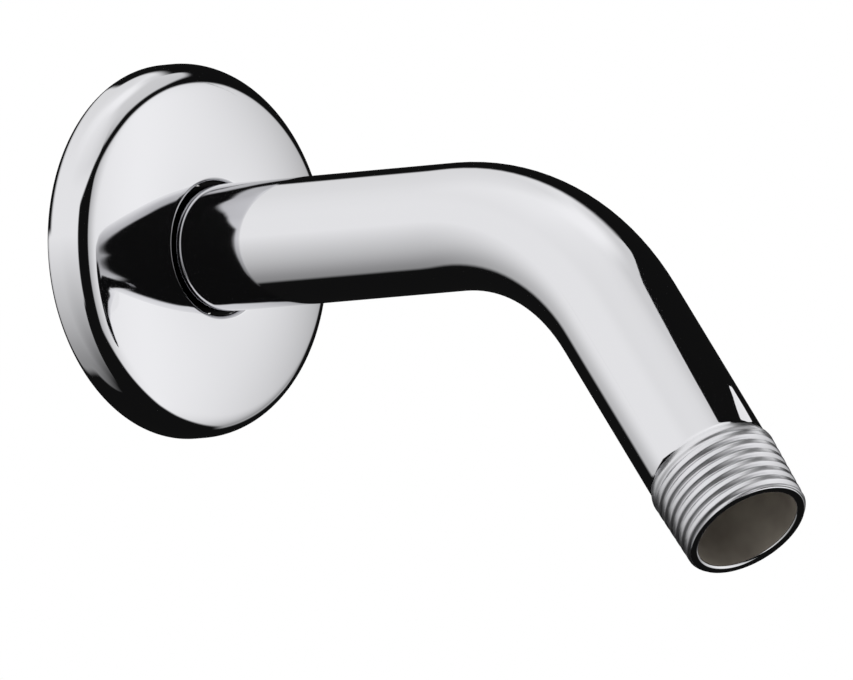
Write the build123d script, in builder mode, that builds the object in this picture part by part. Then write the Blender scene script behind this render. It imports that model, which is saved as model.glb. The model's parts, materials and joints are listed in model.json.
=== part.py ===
from build123d import *
from math import acos, atan2, ceil, cos, pi, sin, sqrt
import os

# Shower arm with its wall flange, in millimetres.
# The origin is where the arm's axis crosses the finished wall. +X runs out of the wall along the
# straight run, +Z is up, and the arm bends down in the XZ plane.

# Bent tube of the arm
tube_od = 20.0
bore_d = 16.8
straight_run = 61.2
bend_radius = 44.0
bend_angle = 51.0
outlet_leg = 44.8
inlet_reach = 16.0

# Pipe threads rolled on both ends, here their plain blanks at the height of the crests
crest_rise = 0.5
outlet_thread_length = 13.2
inlet_thread_length = 13.2
shoulder_length = 0.6
lead_chamfer = 0.9
mouth_chamfer = 0.4

# Wall flange, drawn from one disc of sheet
flange_od = 58.9
flange_sheet = 0.5
rim_turn = 1.3
rim_land = 0.6
edge_round = 4.6
dome_radius = 58.0
dome_flat = 10.8
dome_crown = 9.9
lip_turn = 0.8
lip_depth = 6.3
thread_clearance = 0.05

# The flange's arcs are drawn in chords, which may lie this far off them on the outside and the inside
seen_chord_error = 0.045
hidden_chord_error = 0.12

os.makedirs("parts", exist_ok=True)

tube_radius = tube_od / 2
thread_radius = tube_radius + crest_rise


def threaded_end(end, outward, thread_length):
    """Turn the blank of a rolled thread: a shoulder up from the tube, the crest, and a lead chamfer."""
    blank_start = thread_length + shoulder_length
    with BuildSketch(Plane(origin=end, x_dir=outward, z_dir=(0, 1, 0))) as blank:
        with BuildLine():
            Polyline(
                (-blank_start, 0),
                (-blank_start, tube_radius),
                (-thread_length, thread_radius),
                (-lead_chamfer, thread_radius),
                (0, thread_radius - lead_chamfer),
                (0, 0),
                close=True,
            )
        make_face()
    revolve(blank.sketch, axis=Axis(end, outward))


# Arm: a tube swept along the straight run, the bend and the outlet leg, with a thread at each end
with BuildLine(Plane.XZ) as route:
    run = Line((-inlet_reach, 0), (straight_run, 0))
    bend = JernArc(start=run @ 1, tangent=run % 1, radius=bend_radius, arc_size=-bend_angle)
    leg = PolarLine(start=bend @ 1, length=outlet_leg, angle=-bend_angle)

inlet_end = route.line @ 0
outlet_end = route.line @ 1
inlet_axis = route.line % 0 * -1
outlet_axis = route.line % 1
section_plane = Plane(origin=inlet_end, z_dir=route.line % 0)

with BuildPart() as arm:
    with BuildSketch(section_plane):
        Circle(tube_radius)
    sweep(path=route.line)
    threaded_end(inlet_end, inlet_axis, inlet_thread_length)
    threaded_end(outlet_end, outlet_axis, outlet_thread_length)
    with BuildSketch(section_plane):
        Circle(bore_d / 2)
    sweep(path=route.line, mode=Mode.SUBTRACT)
    mouths = arm.faces().filter_by(GeomType.PLANE).edges().filter_by(
        lambda rim: abs(rim.radius - bore_d / 2) < 1e-6
    )
    chamfer(mouths, mouth_chamfer)

arm.part.label = "arm"
export_step(arm.part, "parts/arm.step")

# Flange profile: a rim turned in on the wall, a skirt, a rounded edge, a domed face and a lip turned in round
# the arm. The hole passes over the thread, so that the flange can be put on. All the arcs are tangent to their
# neighbours, so the centres of the edge and the lip follow from their radii and the dome's.
flange_radius = flange_od / 2
rim_radius = flange_radius - rim_turn
hole_radius = thread_radius + thread_clearance
dome_centre = dome_crown - dome_radius
edge_r = flange_radius - edge_round
edge_x = dome_centre + sqrt((dome_radius - edge_round) ** 2 - (edge_r - dome_flat) ** 2)
edge_lean = atan2(edge_r - dome_flat, edge_x - dome_centre)
lip_r = hole_radius + lip_turn
lip_x = dome_centre + sqrt((dome_radius - lip_turn) ** 2 - (lip_r - dome_flat) ** 2)
lip_lean = atan2(lip_r - dome_flat, lip_x - dome_centre)


def arc_points(centre_x, centre_r, radius, start, stop, chord_error):
    """Points along an arc whose chords lie no further off it than chord_error.

    An angle is the lean of the arc's normal away from the axis. A chord that spans an angle a lies
    radius * (1 - cos(a / 2)) off the arc.
    """
    widest = 2 * acos(1 - chord_error / radius)
    steps = ceil(abs(stop - start) / widest)
    leans = [start + (stop - start) * step / steps for step in range(steps + 1)]
    return [(centre_x + radius * cos(lean), centre_r + radius * sin(lean)) for lean in leans]


def wall_side(inset, chord_error):
    """Draw one side of the sheet, moved in from the outside by inset, and return its first and last point."""
    rim_cut = (inset, rim_radius - rim_land)
    lip_cut = (dome_crown - lip_depth, hole_radius + inset)
    rim = arc_points(rim_turn, rim_radius, rim_turn - inset, pi, pi / 2, chord_error)
    edge = arc_points(edge_x, edge_r, edge_round - inset, pi / 2, edge_lean, chord_error)
    dome = arc_points(dome_centre, dome_flat, dome_radius - inset, edge_lean, lip_lean, chord_error)
    lip = arc_points(lip_x, lip_r, lip_turn - inset, lip_lean, -pi / 2, chord_error)
    Polyline(rim_cut, *rim, *edge, *dome[1:], *lip[1:], lip_cut)
    return rim_cut, lip_cut


with BuildPart() as flange:
    with BuildSketch(Plane.XZ):
        with BuildLine():
            outer_rim, outer_lip = wall_side(0, seen_chord_error)
            inner_rim, inner_lip = wall_side(flange_sheet, hidden_chord_error)
            Line(outer_rim, inner_rim)
            Line(outer_lip, inner_lip)
        make_face()
    revolve(axis=Axis.X)

flange.part.label = "flange"
export_step(flange.part, "parts/flange.step")

print("hole in the flange", round(2 * hole_radius, 2), "edge centre at", round(edge_x, 2))
print("outlet end", outlet_end, "outlet axis", outlet_axis)
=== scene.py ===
# %% [markdown]
# # A chrome shower arm
# The part is two pieces: a bent tube with a pipe thread rolled on each end, and a wall flange drawn from
# sheet that slides on the tube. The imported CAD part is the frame: the new surfaces are worked out from
# its record, its boxes and the sizes that it was drawn with, and they ride on its bodies.

import json

import bpy
import numpy as np
from mathutils import Matrix, Vector


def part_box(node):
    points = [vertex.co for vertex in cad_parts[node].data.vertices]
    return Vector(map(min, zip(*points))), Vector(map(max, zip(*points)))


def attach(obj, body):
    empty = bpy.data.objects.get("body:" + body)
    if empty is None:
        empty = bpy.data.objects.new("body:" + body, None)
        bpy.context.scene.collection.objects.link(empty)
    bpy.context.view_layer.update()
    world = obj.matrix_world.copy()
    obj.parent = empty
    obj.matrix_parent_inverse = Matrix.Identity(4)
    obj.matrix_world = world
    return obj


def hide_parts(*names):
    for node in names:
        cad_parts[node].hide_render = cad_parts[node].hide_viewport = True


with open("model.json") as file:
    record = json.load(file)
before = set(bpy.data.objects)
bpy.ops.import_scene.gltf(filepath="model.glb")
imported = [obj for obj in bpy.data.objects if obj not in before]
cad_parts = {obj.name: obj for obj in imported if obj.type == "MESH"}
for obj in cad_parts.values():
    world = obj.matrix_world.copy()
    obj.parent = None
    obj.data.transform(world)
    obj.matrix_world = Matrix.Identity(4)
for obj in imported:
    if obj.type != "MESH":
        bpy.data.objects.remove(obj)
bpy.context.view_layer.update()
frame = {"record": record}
MM = 0.001
scene = bpy.context.scene

# %% [markdown]
# ## Sizes
# The thread's radius, the outlet's direction, the inlet's reach and the flange's radius come from the
# frame. The rest repeats the sizes that the arm and the flange were drawn with, in millimetres.

# %% Sizes of the arm and the flange
mounts = {mount["name"]: mount for mount in frame["record"]["mounts"]}
outlet_axis = np.array(mounts["outlet_thread"]["axis"])
thread_radius = mounts["outlet_thread"]["dims"]["r_mm"]
arm_low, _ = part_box("arm")
_, flange_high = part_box("flange")

tube_radius = 10.0
bore_radius = 8.4
straight_run = 61.2
bend_radius = 44.0
bend_angle = np.arctan2(-outlet_axis[2], outlet_axis[0])
outlet_leg = 44.8
inlet_reach = -arm_low.x / MM
outlet_thread_length = 13.2
inlet_thread_length = 13.2
shoulder_length = 0.6
thread_pitch = 25.4 / 14
thread_taper = 1 / 32
flange_radius = flange_high.y / MM
print("bend", round(float(np.degrees(bend_angle)), 1), "degrees, flange radius", round(flange_radius, 2))

# %% [markdown]
# ## Surfaces from grids
# Each piece is a closed profile carried round a closed loop, which is a grid that joins up with itself in
# both directions, like a ring. It could be drawn with modifiers, but mirror-bright metal shows every
# facet, and a grid puts each point exactly on the shape. One helper turns the grid into a mesh for both
# pieces.

# %% Helpers for a turn, a smooth step and a mesh from a grid
def turn(count):
    """Angles of a full turn, without the last one, which is the first again."""
    return np.linspace(0, 2 * np.pi, count, endpoint=False)


def smooth(share):
    """Smooth step from nought to one: three times the square of the share less twice its cube."""
    return share**2 * (3 - 2 * share)


def ring_faces(rows, columns):
    """Corner numbers of the faces: a point, its neighbour in the row, and the same two in the next row."""
    row = np.arange(rows)[:, None]
    column = np.arange(columns)[None, :]
    next_row = (row + 1) % rows
    next_column = (column + 1) % columns
    corners = [row * columns + column, row * columns + next_column,
               next_row * columns + next_column, next_row * columns + column]
    return np.stack(corners, axis=-1).reshape(-1, 4)


def ring_mesh(name, points):
    """Join a grid of points (rows, columns, 3) to itself along both directions.

    The volume is a sixth of the sum of a . (b x c) over the triangles. Where it comes out negative, the faces
    point inwards and are turned round.
    """
    faces = ring_faces(*points.shape[:2])
    flat = points.reshape(-1, 3) * MM
    a, b, c, d = (flat[faces[:, k]] for k in range(4))
    volume = np.einsum("ij,ij->", a, np.cross(b, c)) + np.einsum("ij,ij->", a, np.cross(c, d))
    if volume < 0:
        faces = faces[:, ::-1]
    mesh = bpy.data.meshes.new(name)
    mesh.vertices.add(len(flat))
    mesh.vertices.foreach_set("co", flat.astype(np.float32).ravel())
    mesh.loops.add(faces.size)
    mesh.loops.foreach_set("vertex_index", faces.astype(np.int32).ravel())
    mesh.polygons.add(len(faces))
    mesh.polygons.foreach_set("loop_start", np.arange(0, faces.size, 4, dtype=np.int32))
    mesh.polygons.foreach_set("use_smooth", np.ones(len(faces), dtype=bool))
    mesh.update(calc_edges=True)
    mesh.validate()
    piece = bpy.data.objects.new(name, mesh)
    scene.collection.objects.link(piece)
    print(name, "has", len(faces) * 2, "triangles and", round(abs(volume) / 6 / MM**3), "cubic millimetres")
    return piece


print("a ring of 3 by 4 points has", len(ring_faces(3, 4)), "faces")

# %% [markdown]
# ## The arm's centre line
# A bent tube is a circle carried along a line: straight out of the wall, round the bend, and straight
# down the leg. All of it lies in one plane, so the circle's own up direction leans with the line and
# needs no twist. A curve with a round bevel could draw it too, but a formula gives the place and the
# direction at any distance, which the threads need.

# %% Centre line as a function of the distance from the wall
bend_end = straight_run + bend_radius * bend_angle
outlet_end = bend_end + outlet_leg


def centre_line(distance):
    """Point, up and forward direction at a distance along the line from the wall.

    The lean is the distance past the straight run over the bend's radius, and stops at the bend's angle.
    """
    lean = np.clip((distance - straight_run) / bend_radius, 0, bend_angle)
    on_run = np.minimum(distance, straight_run)
    on_leg = np.maximum(distance - bend_end, 0)
    zero = np.zeros_like(lean)
    forward = np.stack([np.cos(lean), zero, -np.sin(lean)], axis=-1)
    up = np.stack([np.sin(lean), zero, np.cos(lean)], axis=-1)
    x = on_run + bend_radius * np.sin(lean) + on_leg * np.cos(bend_angle)
    z = -bend_radius * (1 - np.cos(lean)) - on_leg * np.sin(bend_angle)
    return np.stack([x, zero, z], axis=-1), up, forward


print("centre line from", round(-inlet_reach, 1), "to", round(float(outlet_end), 1), "mm")

# %% [markdown]
# ## Rolled pipe threads
# The thread is a half-inch taper pipe thread, fourteen turns to the inch, rolled into the tube and then
# plated, so its crests and roots are round. A helix could be swept and joined on, but a groove depth that
# depends on the distance along the axis and on the angle gives one clean skin: the groove repeats every
# pitch, and its start moves one pitch along for each turn.

# %% Thread as a depth below the crest
thread_depth = 0.55
crest_share = 0.4
root_share = 0.1
straight_flank = 0.45
runout = 1.6


def groove(axial, angle, thread_start, thread_end):
    """Depth of the thread below its crest at an axial distance and an angle.

    The phase is the distance in pitches less the angle in turns. The flanks run from a flat crest to a flat
    root, partly straight and partly as a smooth step. The depth fades out over the run-out at the start.
    """
    phase = axial / thread_pitch - angle / (2 * np.pi)
    wave = 1 - 2 * np.abs(phase % 1 - 0.5)
    flank = np.clip((wave - crest_share) / (1 - crest_share - root_share), 0, 1)
    soft = straight_flank * flank + (1 - straight_flank) * smooth(flank)
    fade = np.clip(np.abs(axial - thread_start) / runout, 0, 1)
    inside = (axial - thread_start) * (axial - thread_end) <= 0
    return thread_depth * soft * fade * inside


print("turns on the outlet", round(outlet_thread_length / thread_pitch, 1))

# %% [markdown]
# ## The threaded ends
# On the real tube the crest of the thread rises out of the plain tube, gets thinner towards the end, and
# is cut off by a lead chamfer, so that a fitting starts easily. The end face has small rounds, because
# plating leaves no sharp edge. Each end is a list of distances back from the face, with a radius for
# each.

# %% Stations over a threaded end and its face
stations_a_pitch = 14
vanish = 1.2
vanish_stations = 16
lead_chamfer = 0.9
face_round = 0.18
mouth_round = 0.4
round_stations = 5


def end_outside(length):
    """Distance back from the end face and crest radius over one threaded end, from the shoulder to the face.

    The crest rises over the shoulder and the first of the rolled turns, where the thread vanishes. It then
    gets thinner towards the end by the taper, and the lead chamfer cuts it off at 45 degrees.
    """
    full = length - vanish
    threaded = np.linspace(full, face_round, int(full / thread_pitch * stations_a_pitch))
    crest = thread_radius - (full - threaded) * thread_taper
    chamfer = thread_radius - lead_chamfer + threaded
    share = np.linspace(0, 1, vanish_stations, endpoint=False)
    shoulder = full + (vanish + shoulder_length) * (1 - share)
    shoulder_radius = tube_radius + (thread_radius - tube_radius) * smooth(share)
    return np.r_[shoulder, threaded], np.r_[shoulder_radius, np.minimum(crest, chamfer)]


def end_face(radius):
    """Quarter round on the end's outer edge, the flat face, and a quarter round into the bore."""
    quarter = np.linspace(0, np.pi / 2, round_stations)
    outer = face_round * (1 - np.sin(quarter)), radius - face_round * (1 - np.cos(quarter))
    inner = mouth_round * (1 - np.cos(quarter)), bore_radius + mouth_round * (1 - np.sin(quarter))
    flat = np.linspace(outer[1][-1], inner[1][0], 4)[1:-1]
    return np.r_[outer[0], 0 * flat, inner[0]], np.r_[outer[1], flat, inner[1]]


inlet_back, inlet_crest = end_outside(inlet_thread_length)
outlet_back, outlet_crest = end_outside(outlet_thread_length)
inlet_face_back, inlet_face_radius = end_face(inlet_crest[-1])
outlet_face_back, outlet_face_radius = end_face(outlet_crest[-1])
print("crest radius at the outlet's face", round(float(outlet_crest[-1]), 2), "mm")

# %% [markdown]
# ## The arm's skin
# One loop goes along the outside from the inlet to the outlet, over the end face, back through the bore
# and over the inlet's end face to where it began. Stations lie close together in the threads and on the
# small rounds, and further apart on plain tube. The loop is then carried round the centre line, less the
# depth of the grooves. The bore could be cut out of a solid rod, but one loop leaves no seam.

# %% Loop of stations and the arm's mesh
tube_columns = 192
tube_step = 2.0
join_gap = 0.2
bore_margin = 1.0


def tube_stations(first, last):
    """Distances along plain tube, about one step apart."""
    return np.linspace(first, last, max(2, int(abs(last - first) / tube_step)))


def inlet(back):
    """Distances along the centre line of stations that lie back from the inlet's face, in reverse order."""
    return (-inlet_reach + back)[::-1]


plain = tube_stations(-inlet_reach + inlet_back[0] + join_gap, outlet_end - outlet_back[0] - join_gap)
bore = tube_stations(outlet_end - bore_margin, -inlet_reach + bore_margin)
along = np.r_[inlet(inlet_back), plain, outlet_end - outlet_back,
              outlet_end - outlet_face_back, bore, inlet(inlet_face_back)]
radius = np.r_[inlet_crest[::-1], 0 * plain + tube_radius, outlet_crest,
               outlet_face_radius, 0 * bore + bore_radius, inlet_face_radius[::-1]]
station = np.arange(len(along))
on_outside = station < len(inlet_back) + len(plain) + len(outlet_back)
first_bore = on_outside.sum() + len(outlet_face_back)
# The bore begins at the last station of the outlet's mouth round
in_bore = (station >= first_bore - 1) & (station < first_bore + len(bore))

angle = turn(tube_columns)[None, :]
centre, up, forward = centre_line(along)
side = np.cross(forward, up)
inlet_full = -inlet_reach + inlet_thread_length - vanish
outlet_full = outlet_end - outlet_thread_length + vanish
depth = groove(along[:, None], angle, inlet_full, -inlet_reach)
depth = depth + groove(along[:, None], angle, outlet_full, outlet_end)
fitted = radius[:, None] - depth * on_outside[:, None]
swing = np.cos(angle)[..., None] * up[:, None] + np.sin(angle)[..., None] * side[:, None]
arm = ring_mesh("arm_tube", centre[:, None] + fitted[..., None] * swing)

in_thread = (along < -inlet_reach + inlet_thread_length) | (along > outlet_end - outlet_thread_length)
satin = np.repeat((in_thread & on_outside).astype(np.float32), tube_columns)
arm.data.attributes.new("satin", "FLOAT", "POINT").data.foreach_set("value", satin)

# %% [markdown]
# ## The wall flange
# The flange is one disc of sheet, drawn into a shallow dome with a rounded edge and a skirt. Its rim is
# turned in where it meets the wall, and so is the lip of its hole, which is just wide enough to pass over
# the thread. The outside is four arcs and three straights, each tangent to the next, and the inside is
# the same line one sheet lower, so the whole wall is one closed profile turned about the tube's axis.

# %% Sizes of the flange and the centres of its arcs
sheet = 0.5
rim_turn = 1.3
rim_land = 0.6
edge_round = 4.6
dome_radius = 58.0
dome_flat = 10.8
dome_crown = 9.9
lip_turn = 0.8
lip_depth = 6.3
thread_clearance = 0.05
cut_round = 0.08

rim_radius = flange_radius - rim_turn
rim_end = rim_radius - rim_land
hole_radius = thread_radius + thread_clearance
lip_end = dome_crown - lip_depth
dome_centre = dome_crown - dome_radius
edge_r = flange_radius - edge_round
edge_x = dome_centre + np.sqrt((dome_radius - edge_round) ** 2 - (edge_r - dome_flat) ** 2)
edge_tilt = np.arctan2(edge_r - dome_flat, edge_x - dome_centre)
lip_r = hole_radius + lip_turn
lip_x = dome_centre + np.sqrt((dome_radius - lip_turn) ** 2 - (lip_r - dome_flat) ** 2)
lip_tilt = np.arctan2(lip_r - dome_flat, lip_x - dome_centre)
dome_lean = round(float(np.degrees(edge_tilt)), 1)
print("hole radius", round(hole_radius, 2), "mm, dome leans", dome_lean, "degrees at its edge")

# %% [markdown]
# ## The flange's profile
# A profile of arcs could be drawn as a curve and spun, but then the number of points on each arc is left
# to the curve. Here each arc gets the points that its turn needs, and the cut edges of the sheet get a
# hair of round.

# %% Flange profile from tangent arcs, and the flange's mesh
flange_columns = 256
neck_rows = 8


def arc(x, r, size, start, stop, count):
    """Points of an arc about (x, r), where an angle is the lean of its outward normal away from the axis."""
    lean = np.linspace(start, stop, count)
    return np.stack([x + size * np.cos(lean), r + size * np.sin(lean)], axis=-1)


def line(x_start, r_start, x_stop, r_stop, count):
    """Points evenly along a straight, without its last one, where the next stretch begins."""
    share = np.linspace(0, 1, count)[:-1, None]
    return (1 - share) * np.array([x_start, r_start]) + share * np.array([x_stop, r_stop])


def wall_line(inset):
    """Rim, skirt, edge, dome, lip and neck, one after another, moved inwards by inset."""
    skirt_r = flange_radius - inset
    neck_r = hole_radius + inset
    return np.concatenate([
        line(inset, rim_end + cut_round, inset, rim_radius, 4),
        arc(rim_turn, rim_radius, rim_turn - inset, np.pi, np.pi / 2, 12)[:-1],
        line(rim_turn, skirt_r, edge_x, skirt_r, 5),
        arc(edge_x, edge_r, edge_round - inset, np.pi / 2, edge_tilt, 24),
        arc(dome_centre, dome_flat, dome_radius - inset, edge_tilt, lip_tilt, 24)[1:],
        arc(lip_x, lip_r, lip_turn - inset, lip_tilt, -np.pi / 2, 16)[1:-1],
        line(lip_x, neck_r, lip_end + cut_round, neck_r, neck_rows + 1),
    ])


lip_cut = np.concatenate([
    arc(lip_end + cut_round, hole_radius + cut_round, cut_round, -np.pi / 2, -np.pi, 5),
    arc(lip_end + cut_round, hole_radius + sheet - cut_round, cut_round, np.pi, np.pi / 2, 5),
])
rim_cut = np.concatenate([
    arc(sheet - cut_round, rim_end + cut_round, cut_round, 0, -np.pi / 2, 5),
    arc(cut_round, rim_end + cut_round, cut_round, -np.pi / 2, -np.pi, 5)[:-1],
])
outside_line = wall_line(0)
inside_line = wall_line(sheet)[:0:-1]
profile = np.concatenate([rim_cut, outside_line, lip_cut, inside_line])
spin = turn(flange_columns)
flange_points = np.stack([
    np.broadcast_to(profile[:, 0, None], (len(profile), flange_columns)),
    profile[:, 1, None] * np.cos(spin),
    profile[:, 1, None] * np.sin(spin),
], axis=-1)
flange = ring_mesh("wall_flange", flange_points)

# %% [markdown]
# ## Chrome plate
# Chrome plate is a mirror with a faint grey tint. The polish isn't perfect, so the roughness wanders a
# little and a very low bump bends the reflections by a hair. The rolled threads are duller than the
# polished tube. An image of scratches could do this too, but noise on the piece's own coordinates needs
# no file and no seam.

# %% Chrome material
plate_tint = (0.70, 0.70, 0.72)
polish_range = (0.02, 0.06)
smear_scale = 90.0
thread_dullness = 0.28
wave_scale = 70.0
wave_height = 3e-5


def node_material(name):
    """New material with its node tree and its shader."""
    material = bpy.data.materials.new(name)
    material.use_nodes = True
    tree = material.node_tree
    return material, tree, tree.nodes["Principled BSDF"]


def object_noise(tree, scale, detail):
    """Noise on the piece's own coordinates."""
    place = tree.nodes.new("ShaderNodeTexCoord")
    noise = tree.nodes.new("ShaderNodeTexNoise")
    noise.inputs["Scale"].default_value = scale
    noise.inputs["Detail"].default_value = detail
    tree.links.new(place.outputs["Object"], noise.inputs["Vector"])
    return noise


def chrome_material(name):
    """Mirror metal, where roughness is the polish by slow noise plus the dullness on the threads."""
    material, tree, shader = node_material(name)
    shader.inputs["Metallic"].default_value = 1.0
    shader.inputs["Base Color"].default_value = (*plate_tint, 1)
    smear = object_noise(tree, smear_scale, 4.0)
    polish = tree.nodes.new("ShaderNodeMapRange")
    polish.inputs["To Min"].default_value, polish.inputs["To Max"].default_value = polish_range
    tree.links.new(smear.outputs["Fac"], polish.inputs["Value"])
    rolled = tree.nodes.new("ShaderNodeAttribute")
    rolled.attribute_name = "satin"
    dulled = tree.nodes.new("ShaderNodeMath")
    dulled.operation = "MULTIPLY_ADD"
    dulled.inputs[1].default_value = thread_dullness
    tree.links.new(rolled.outputs["Fac"], dulled.inputs[0])
    tree.links.new(polish.outputs["Result"], dulled.inputs[2])
    tree.links.new(dulled.outputs[0], shader.inputs["Roughness"])
    wave = object_noise(tree, wave_scale, 1.0)
    bump = tree.nodes.new("ShaderNodeBump")
    bump.inputs["Distance"].default_value = wave_height
    tree.links.new(wave.outputs["Fac"], bump.inputs["Height"])
    tree.links.new(bump.outputs["Normal"], shader.inputs["Normal"])
    return material


arm.data.materials.append(chrome_material("arm_chrome_plate"))
flange.data.materials.append(chrome_material("flange_chrome_plate"))
print("plated", arm.name, "and", flange.name)

# %% [markdown]
# ## Bare metal
# The bore and the inside of the flange aren't plated. The bore is dull and brown from the water. Its tints
# are also kept dark and far apart as painted shade, so that its blotches stand in for the light and shade
# inside the tube. The inside of the flange is plain grey sheet. Both are one material with blotches between a
# dark and a pale tint, and the faces that take it are found by their rows in the grid, so the border runs
# cleanly along an edge.

# %% Bare material in the bore and inside the flange
bare_roughness = 0.5
blotch_scale = 90.0
blotch_seed = 1.0
blotch_limits = (0.36, 0.64)
bore_metallic = 0.3
sheet_metallic = 0.8
# The bore's tints are partly its own dull brown and partly painted shade: dark, and far apart, so its
# blotches stand in for light and shade in the tube.
bore_tints_and_painted_shade = (0.24, 0.21, 0.18), (0.44, 0.40, 0.34)
sheet_tints = (0.24, 0.23, 0.21), (0.42, 0.40, 0.38)


def bare_material(name, metallic, tints):
    """Dull unplated metal with blotches of two tints."""
    material, tree, shader = node_material(name)
    shader.inputs["Metallic"].default_value = metallic
    shader.inputs["Roughness"].default_value = bare_roughness
    blotch = object_noise(tree, blotch_scale, 3.0)
    blotch.noise_dimensions = "4D"
    blotch.inputs["W"].default_value = blotch_seed
    ramp = tree.nodes.new("ShaderNodeValToRGB")
    dark, pale = ramp.color_ramp.elements
    dark.position, pale.position = blotch_limits
    dark.color, pale.color = (*tints[0], 1), (*tints[1], 1)
    tree.links.new(blotch.outputs["Fac"], ramp.inputs["Fac"])
    tree.links.new(ramp.outputs["Color"], shader.inputs["Base Color"])
    return material


# The bore's material carries painted shade in its dark, blotchy tints.
arm.data.materials.append(bare_material("bare_bore_painted_shade", bore_metallic, bore_tints_and_painted_shade))
flange.data.materials.append(bare_material("bare_sheet", sheet_metallic, sheet_tints))
bore_faces = np.repeat((in_bore & np.roll(in_bore, -1)).astype(np.int32), tube_columns)
arm.data.polygons.foreach_set("material_index", bore_faces)
first_bare = len(rim_cut) + len(outside_line)
inside_faces = np.repeat((np.arange(len(profile)) >= first_bare).astype(np.int32), flange_columns)
flange.data.polygons.foreach_set("material_index", inside_faces)
print("bare faces", int(bore_faces.sum()), "in the bore and", int(inside_faces.sum()), "in the flange")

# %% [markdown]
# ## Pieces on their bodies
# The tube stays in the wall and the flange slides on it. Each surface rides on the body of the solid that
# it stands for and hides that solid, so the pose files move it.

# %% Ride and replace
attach(arm, "arm")
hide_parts("arm")
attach(flange, "flange")
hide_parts("flange")
print("the arm rides on arm, the flange on flange")

# %% [markdown]
# ## Camera
# The photograph was taken from far away with a long lens, from a little below the arm and well round to
# its side. A turned camera object could be keyed in by hand. Building its three directions from an
# azimuth, an elevation and a roll keeps the numbers readable, and the lens follows from the focal length
# in pixels.

# %% Camera
camera_azimuth = np.radians(43.016)
camera_elevation = np.radians(-7.264)
camera_roll = np.radians(1.862)
camera_distance = 3.8892
camera_target = Vector((0.050, 0, -0.010))
aim_right = -0.003313
aim_up = 0.006977
image_width = 853
focal_pixels = 25000

back = Vector((np.sin(camera_azimuth) * np.cos(camera_elevation),
               -np.cos(camera_azimuth) * np.cos(camera_elevation), np.sin(camera_elevation)))
level = Vector((0, 0, 1)).cross(back).normalized()
upright = back.cross(level)
roll = Matrix.Rotation(camera_roll, 3, back)
right = roll @ level
top = roll @ upright
place = camera_target + back * camera_distance - right * aim_right - top * aim_up
lens = bpy.data.cameras.new("camera")
lens.sensor_width = 36.0
lens.lens = focal_pixels / image_width * lens.sensor_width
lens.clip_end = 20
camera = bpy.data.objects.new("camera", lens)
camera.matrix_world = Matrix((
    (right.x, top.x, back.x, place.x), (right.y, top.y, back.y, place.y),
    (right.z, top.z, back.z, place.z), (0, 0, 0, 1)))
scene.collection.objects.link(camera)
scene.camera = camera
print("lens", round(lens.lens), "mm, camera at", [round(v, 2) for v in place])

# %% [markdown]
# ## White background
# The background is white to the camera and in reflections, and half as bright as a light, so that the
# white doesn't come from more light on the part. The light path tells the two apart.

# %% World
soft_light = 0.5
scene.view_settings.view_transform = "Standard"
world = bpy.data.worlds.new("studio")
scene.world = world
world.use_nodes = True
world_nodes = world.node_tree.nodes
world_links = world.node_tree.links
background = world_nodes["Background"]
background.inputs["Color"].default_value = (1, 1, 1, 1)
world_path = world_nodes.new("ShaderNodeLightPath")
seen = world_nodes.new("ShaderNodeMath")
seen.operation = "MAXIMUM"
world_links.new(world_path.outputs["Is Camera Ray"], seen.inputs[0])
world_links.new(world_path.outputs["Is Glossy Ray"], seen.inputs[1])
seen_all = world_nodes.new("ShaderNodeMath")
seen_all.operation = "MAXIMUM"
world_links.new(seen.outputs[0], seen_all.inputs[0])
world_links.new(world_path.outputs["Is Transmission Ray"], seen_all.inputs[1])
strength = world_nodes.new("ShaderNodeMapRange")
strength.inputs["To Min"].default_value = soft_light
strength.inputs["To Max"].default_value = 1.0
world_links.new(seen_all.outputs[0], strength.inputs["Value"])
world_links.new(strength.outputs["Result"], background.inputs["Strength"])
print("background", strength.inputs["To Max"].default_value, "to the camera and", soft_light, "as a light")

# %% [markdown]
# ## A studio tent
# Chrome has no colour of its own: it shows what stands round it. A studio shoots it in a tent of white
# cloth with black cards, which draw the dark lines along its edges. Cards could be modelled one by one,
# but their edges are easier to place as directions, in degrees of azimuth and elevation as the camera
# counts them. So the tent is one large sphere, and its brightness is a function of the direction.

# %% White cloth of the tent
tent_white = 1.08
tent_black = 0.007
dimming_starts = 4
loss_a_degree = 0.0114
overhead_gain = 0.11
panel_middle = 121
panel_half = 52
panel_peak = 1.1
panel_fall = 0.66
panel_power = 1.6
low_loss_behind = 0.3
fold_azimuth = [0, 20, 45, 80, 150, 190, 215, 240, 275, 300, 330, 360]
fold_share = [0.08, 0.10, 0.15, 0.28, 0.30, 0.24, 0.10, 0.18, 0.12, 0.04, 0.03, 0.08]


def rise(value, start, stop):
    """Smooth step from nought at start to one at stop."""
    return smooth(np.clip((value - start) / (stop - start), 0, 1))


def between(value, low, high, soft):
    """One inside a range and nought outside, with a soft edge centred on each limit."""
    return rise(value, low - soft, low + soft) * (1 - rise(value, high - soft, high + soft))


def cloth_light(azimuth, elevation):
    """Brightness of the cloth without its cards.

    It loses a share for each degree towards the floor and gains a little overhead. The panel at the right is
    brightest in its middle. Folds high up take a share by azimuth, and the cloth low down behind is dimmer.
    """
    dimmed = np.clip((dimming_starts - elevation) * loss_a_degree, 0, 1)
    cloth = 1 - dimmed + overhead_gain * rise(elevation, 25, 85)
    panel = panel_peak - panel_fall * np.abs((azimuth - panel_middle) / panel_half) ** panel_power
    cloth = cloth + (panel - cloth) * between(azimuth, 70, 178, 4) * (1 - rise(elevation, 30, 60))
    fold = np.interp(azimuth, fold_azimuth, fold_share)
    cloth = cloth * (1 - fold * between(elevation, 34, 78, 8))
    low_behind = between(azimuth, 176, 296, 16) * (1 - rise(elevation, 0, 30))
    return cloth * (1 - low_loss_behind * low_behind)


print("cloth level with the part, every 90 degrees", cloth_light(np.arange(0, 360, 90), np.zeros(4)).round(2))

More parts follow.
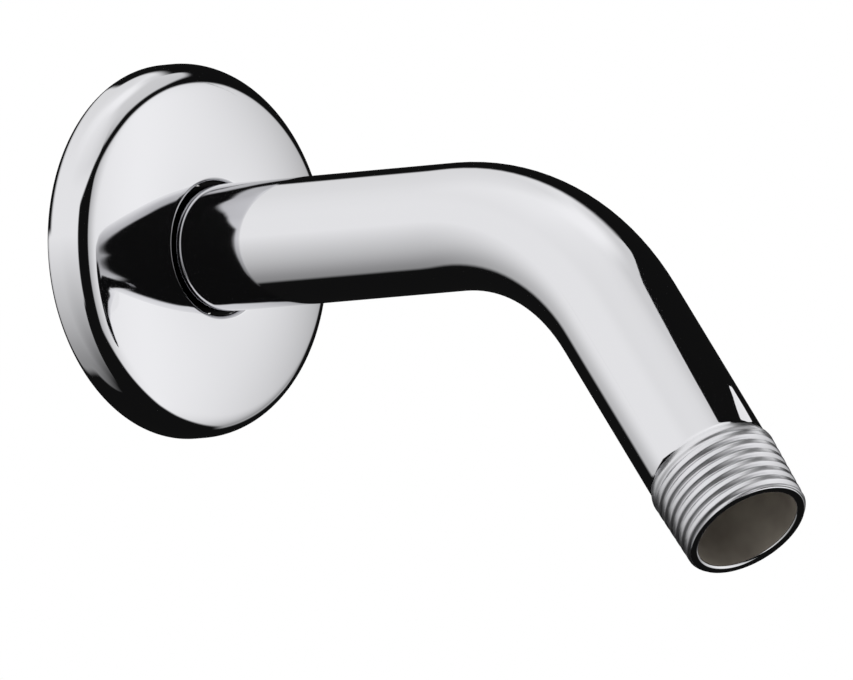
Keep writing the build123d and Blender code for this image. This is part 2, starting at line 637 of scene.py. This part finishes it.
# %% [markdown]
# ## Black cards
# The real cards stand close to the part, so a second reflection, which leaves from another place than the
# first, sees them at other angles. The tent is far away and can't show that by itself. So the edges of
# the front card, of the bar over the white panel and of the floor are given twice, once for each
# reflection.

# %% Edges of the cards and their shade
back_height = 2.15
back_power = 1.2
floor_drop = 50


def first_cards(azimuth):
    """Edges as a first reflection sees them.

    They are the floor's edge, the front card's left, right, lean and top, and the bar's lower and upper edge.
    """
    floor_edge = np.interp(azimuth, [70, 80, 100, 125, 140, 160, 172], [-30, -33, -39, -44, -43, -38, -34])
    front_top = np.interp(azimuth, [33, 45, 60, 75], [20, 27, 36, 42])
    bar_low = np.interp(azimuth, [72, 80, 90, 110, 130, 150, 160, 172], [26, 31, 33, 34.5, 33, 29.5, 25, 18])
    bar_top = np.interp(azimuth, [75, 90, 100, 130, 150, 172], [42, 45, 47, 45, 49, 56])
    front_left, front_right, front_lean = 33, 73, 0
    return floor_edge, front_left, front_right, front_lean, front_top, bar_low, bar_top


def second_cards(azimuth):
    """The same edges as a second reflection sees them, which leaves from close to the tube."""
    floor_edge = np.interp(azimuth, [76, 82, 104, 112, 124, 132, 150, 172],
                           [-14, -24, -23, -27, -29, -36, -40, -36])
    front_top = np.interp(azimuth, [14, 20, 28, 36, 44, 60, 75, 85], [20, 29, 40, 46, 49, 54, 62, 63])
    bar_low = np.interp(azimuth, [72, 80, 88, 96, 104, 114, 130, 172], [24, 31, 38, 43, 46, 50, 50, 40])
    bar_top = np.interp(azimuth, [66, 80, 104, 130, 172], [57, 62, 63, 60, 62])
    front_left, front_right, front_lean = 13, 70, 0.45
    return floor_edge, front_left, front_right, front_lean, front_top, bar_low, bar_top


def back_card(azimuth, elevation):
    """Shade of the card behind, whose top comes down towards its ends by a power of the cosine."""
    behind = np.maximum(np.cos(np.radians(azimuth - 180)), 0)
    top_edge = np.degrees(np.arctan(back_height * behind**back_power))
    left_edge = 182 - 10 * rise(elevation, -10, 0)
    return between(azimuth, left_edge, 277, 4) * (1 - rise(elevation, top_edge - 4, top_edge + 4))


def wall_card(azimuth, elevation):
    """Shade of the card at the wall, which fills a cone about the direction into the wall."""
    towards_wall = -np.sin(np.radians(azimuth)) * np.cos(np.radians(elevation))
    return rise(towards_wall, 0.70, 0.75) * rise(elevation, 4, 8)


def tent_light(azimuth, elevation, cards):
    """Brightness of the tent in a direction: the cloth, less the share that each card takes away.

    The floor's edge drops out of sight at the left, and the front card's right edge leans out with elevation.
    """
    floor_edge, front_left, front_right, front_lean, front_top, bar_low, bar_top = cards(azimuth)
    floor_limit = floor_edge - floor_drop * (1 - between(azimuth, 22, 272, 8))
    floor_shade = 1 - rise(elevation, floor_limit - 3, floor_limit + 3)
    right_edge = front_right + front_lean * np.abs(elevation)
    under_top = 1 - rise(elevation, front_top - 2.5, front_top + 2.5)
    front = between(azimuth, front_left, right_edge, 2) * under_top
    bar = between(azimuth, 70, 182, 2) * between(elevation, bar_low, bar_top, 2.5)
    shades = [back_card(azimuth, elevation), floor_shade, front, bar, wall_card(azimuth, elevation)]
    open_share = np.prod([1 - shade for shade in shades], axis=0)
    return tent_black + (tent_white - tent_black) * cloth_light(azimuth, elevation) * open_share


print("tent level with the part, every 90 degrees",
      tent_light(np.arange(0, 360, 90), np.zeros(4), first_cards).round(2))

# %% [markdown]
# ## Things that are only reflected
# The tent and the small cards shine only in reflections. The camera, the shadows and the dull surfaces
# don't see them, so they put no light on the floor. Lamps could stand in for them, but a lamp can't have
# an outline. The ray depth, which is one at a first reflection, tells it from a later one.

# %% Helpers for stage pieces that glow
later_depth = 1.5


def patch_mesh(name, points):
    """Mesh from an open grid of points (rows, columns, 3), in metres."""
    rows, columns, _ = points.shape
    first = np.arange(rows - 1)[:, None] * columns + np.arange(columns - 1)[None, :]
    faces = np.stack([first, first + 1, first + columns + 1, first + columns], axis=-1).reshape(-1, 4)
    mesh = bpy.data.meshes.new(name)
    mesh.from_pydata(points.reshape(-1, 3).tolist(), [], faces.tolist())
    return mesh


def glow_material(name):
    """Light from one attribute in first reflections, and from another past the depth of later ones."""
    material = bpy.data.materials.new(name)
    material.use_nodes = True
    nodes = material.node_tree.nodes
    links = material.node_tree.links
    nodes.clear()
    output = nodes.new("ShaderNodeOutputMaterial")
    glow = nodes.new("ShaderNodeEmission")
    choice = nodes.new("ShaderNodeMix")
    first_value = nodes.new("ShaderNodeAttribute")
    first_value.attribute_name = "light"
    later_value = nodes.new("ShaderNodeAttribute")
    later_value.attribute_name = "light_again"
    light_path = nodes.new("ShaderNodeLightPath")
    later = nodes.new("ShaderNodeMath")
    later.operation = "GREATER_THAN"
    later.inputs[1].default_value = later_depth
    links.new(light_path.outputs["Ray Depth"], later.inputs[0])
    links.new(later.outputs[0], choice.inputs["Factor"])
    links.new(first_value.outputs["Fac"], choice.inputs["A"])
    links.new(later_value.outputs["Fac"], choice.inputs["B"])
    links.new(choice.outputs["Result"], glow.inputs["Strength"])
    links.new(glow.outputs[0], output.inputs["Surface"])
    material.cycles.emission_sampling = "NONE"
    return material


def glow_object(name, mesh, light, light_again):
    """Stage object with its two lights as attributes, which only reflections see."""
    piece = bpy.data.objects.new(name, mesh)
    scene.collection.objects.link(piece)
    for attribute, values in (("light", light), ("light_again", light_again)):
        stored = mesh.attributes.new(attribute, "FLOAT", "POINT")
        stored.data.foreach_set("value", values.astype(np.float32).ravel())
    mesh.materials.append(glow_material(name))
    piece.visible_camera = False
    piece.visible_diffuse = False
    piece.visible_shadow = False
    piece.visible_transmission = False
    print(name, "glows from", round(float(light.min()), 3), "to", round(float(light.max()), 3))
    return piece


print("a reflection is a later one past a ray depth of", later_depth)

# %% [markdown]
# ## The tent
# A grid of one degree is fine enough for the soft edges of the cards. The sphere is so large that every
# place on the part sees it in nearly the same directions.

# %% Tent
tent_radius = 6.0
tent_centre = np.array([0.05, 0.0, -0.01])
degrees_round = np.arange(361)
degrees_up = np.arange(-90, 91)


def tent():
    """Sphere round the part: the sine and the cosine of the azimuth, times the cosine of the elevation."""
    azimuth, elevation = np.meshgrid(degrees_round, degrees_up, indexing="ij")
    across = np.radians(azimuth)
    upward = np.radians(elevation)
    flat = np.cos(upward)
    direction = np.stack([np.sin(across) * flat, -np.cos(across) * flat, np.sin(upward)], axis=-1)
    mesh = patch_mesh("tent", tent_centre + tent_radius * direction)
    first = tent_light(azimuth, elevation, first_cards)
    again = tent_light(azimuth, elevation, second_cards)
    return glow_object("tent", mesh, first, again)


tent()

# %% [markdown]
# ## Cards at the outlet
# Two cards stand so close to the outlet leg that they can't be part of the tent. A black one above draws
# the dark band down the leg. Its plane passes through the flange's place, so the flange sees it edge-on.
# A small white one behind the leg puts the light on its far side, just above the thread.

# %% Cards at the outlet
card_slope = 0.9325
card_foot = np.array([5.0, 20.0])
card_far = 160.0
strip_depth = 25.0


def sheet_card(name, x, y, z, light):
    """Flat card from grids of its three coordinates in millimetres, which glows evenly with one light."""
    points = np.stack(np.broadcast_arrays(x, y, z), axis=-1)
    glow = np.full(points.shape[:2], light)
    return glow_object(name, patch_mesh(name, points * MM), glow, glow)


def outlet_card():
    """Sloping card over the outlet, cut slantwise, from the cut to its far edge."""
    x = np.linspace(100, 300, 41)[:, None]
    cut = np.interp(x, [100, 118, 133, 155, 300], [53, 61, 57, 43, -116])
    y = cut + (card_far - cut) * np.linspace(0, 1, 4)[None, :]
    z = card_foot[1] + card_slope * (x - card_foot[0])
    return sheet_card("outlet_card", x, y, z, tent_black)


def outlet_strip():
    """Small upright card behind the outlet leg, from its lower to its upper edge."""
    x = np.linspace(113.5, 135, 24)[:, None]
    upper = np.interp(x, [113.5, 115.5, 120, 124, 135], [-13, -10, -7.5, -4, 6])
    lower = np.interp(x, [113.5, 116, 120, 135], [-13.5, -16.5, -19, -25])
    z = lower + (upper - lower) * np.linspace(0, 1, 4)[None, :]
    return sheet_card("outlet_strip", x, strip_depth, z, tent_white)


outlet_card()
outlet_strip()

# %% [markdown]
# ## Floor
# A pale floor keeps the shadow of the part. The camera looks up at it from below, so its underside is
# clear, and the reflections show the tent instead of it. The floor could be hidden from the camera
# altogether, but then views from above would lose it.

# %% Floor
floor_height = -0.12
floor_reach = 6.0
floor_tint = (0.86, 0.86, 0.86)
floor_mesh = patch_mesh("floor", np.array([
    [(-floor_reach, -floor_reach, floor_height), (floor_reach, -floor_reach, floor_height)],
    [(-floor_reach, floor_reach, floor_height), (floor_reach, floor_reach, floor_height)],
]))
floor = bpy.data.objects.new("floor", floor_mesh)
scene.collection.objects.link(floor)
floor_material, floor_tree, floor_shader = node_material("floor")
floor_shader.inputs["Base Color"].default_value = (*floor_tint, 1)
floor_shader.inputs["Roughness"].default_value = 0.9
sides = floor_tree.nodes.new("ShaderNodeNewGeometry")
clear = floor_tree.nodes.new("ShaderNodeBsdfTransparent")
mix = floor_tree.nodes.new("ShaderNodeMixShader")
floor_tree.links.new(sides.outputs["Backfacing"], mix.inputs["Fac"])
floor_tree.links.new(floor_shader.outputs[0], mix.inputs[1])
floor_tree.links.new(clear.outputs[0], mix.inputs[2])
floor_tree.links.new(mix.outputs[0], floor_tree.nodes["Material Output"].inputs["Surface"])
floor_mesh.materials.append(floor_material)
floor.visible_glossy = False
print("floor at", floor_height, "m, facing", [round(v, 1) for v in floor_mesh.polygons[0].normal])

# %% [markdown]
# ## Key light
# One soft lamp lights the floor and the dull surfaces. Several small lamps could do it, but one large one
# gives a single soft shadow. Reflections don't see it, because the tent is what the chrome shows.

# %% Key light
key = bpy.data.lights.new("key", "AREA")
key.energy = 12
key.size = 1.0
key_light = bpy.data.objects.new("key", key)
key_light.location = (-0.3, -0.9, 1.2)
key_aim = Vector((0.05, 0, 0)) - key_light.location
key_light.rotation_euler = key_aim.to_track_quat("-Z", "Y").to_euler()
key_light.visible_camera = False
key_light.visible_glossy = False
scene.collection.objects.link(key_light)
print("key light", key.energy, "watts,", round(key_aim.length, 2), "m away")
